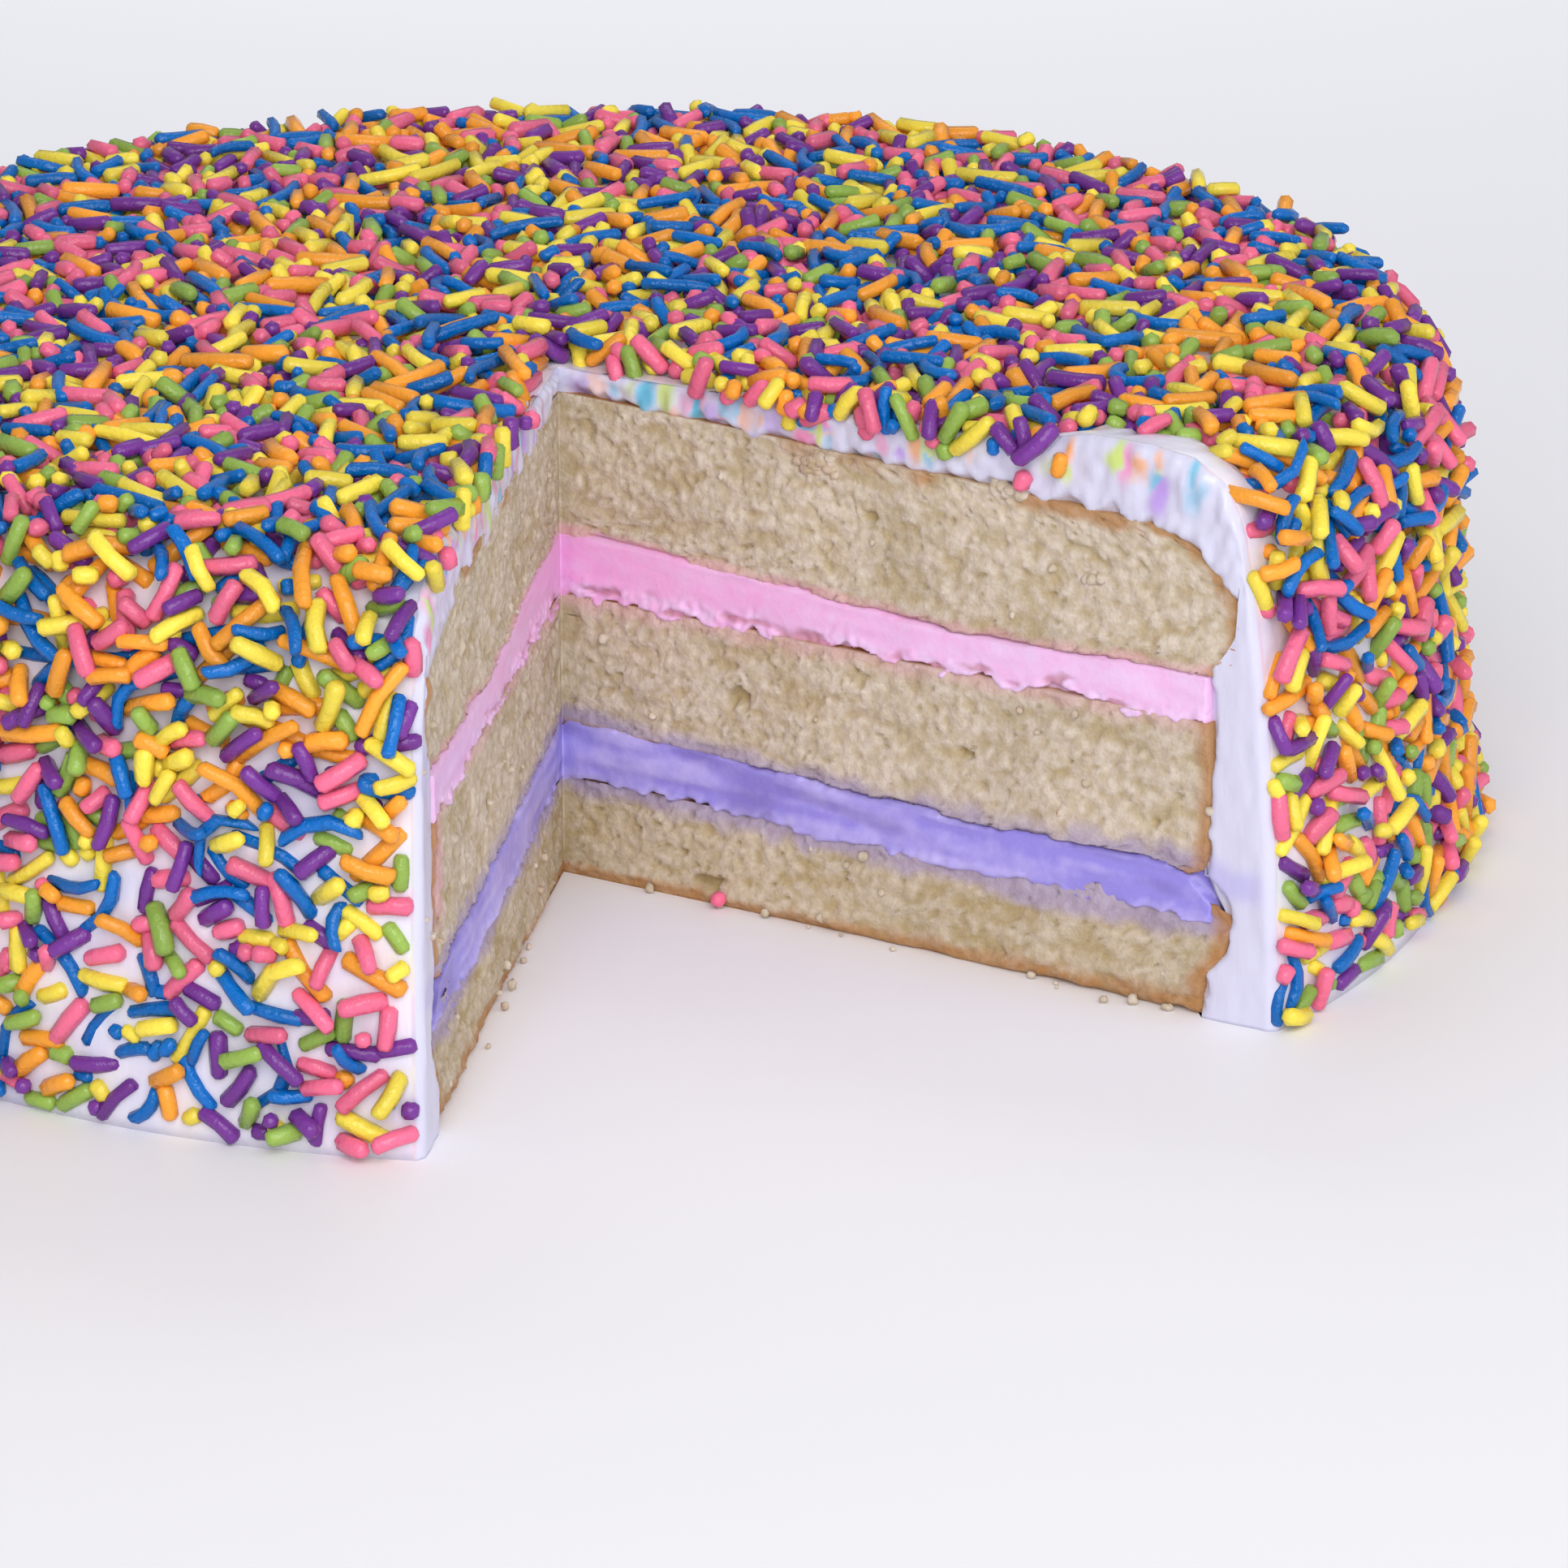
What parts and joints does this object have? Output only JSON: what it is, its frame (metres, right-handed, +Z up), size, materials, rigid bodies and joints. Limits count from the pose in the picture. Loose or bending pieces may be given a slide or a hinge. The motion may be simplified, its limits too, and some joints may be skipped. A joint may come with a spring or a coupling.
{
  "type": "sprinkle cake",
  "caption": "Round layer cake with a slice cut out, filled in pink and lavender, frosted white and covered in coloured sugar sprinkles.",
  "frame": {"origin": "centre of the cake's round plan, at the level it stands on", "axes": "+Z up. +X and +Y lie in the plan, and the missing slice opens between +X and -Y"},
  "size_m": [0.2422, 0.2419, 0.0737],
  "materials": {
    "sponge": "open pale yellow crumb, browned at its crust",
    "pink_filling": "smooth satin buttercream",
    "lavender_filling": "satin buttercream dragged by the knife",
    "frosting": "soft white buttercream under glossy sugar rods"
  },
  "bodies": {
    "root": {"bottom_sponge": "sponge", "lavender_filling": "lavender_filling", "middle_sponge": "sponge", "pink_filling": "pink_filling", "top_sponge": "sponge", "frosting": "frosting"}
  },
  "joints": []
}
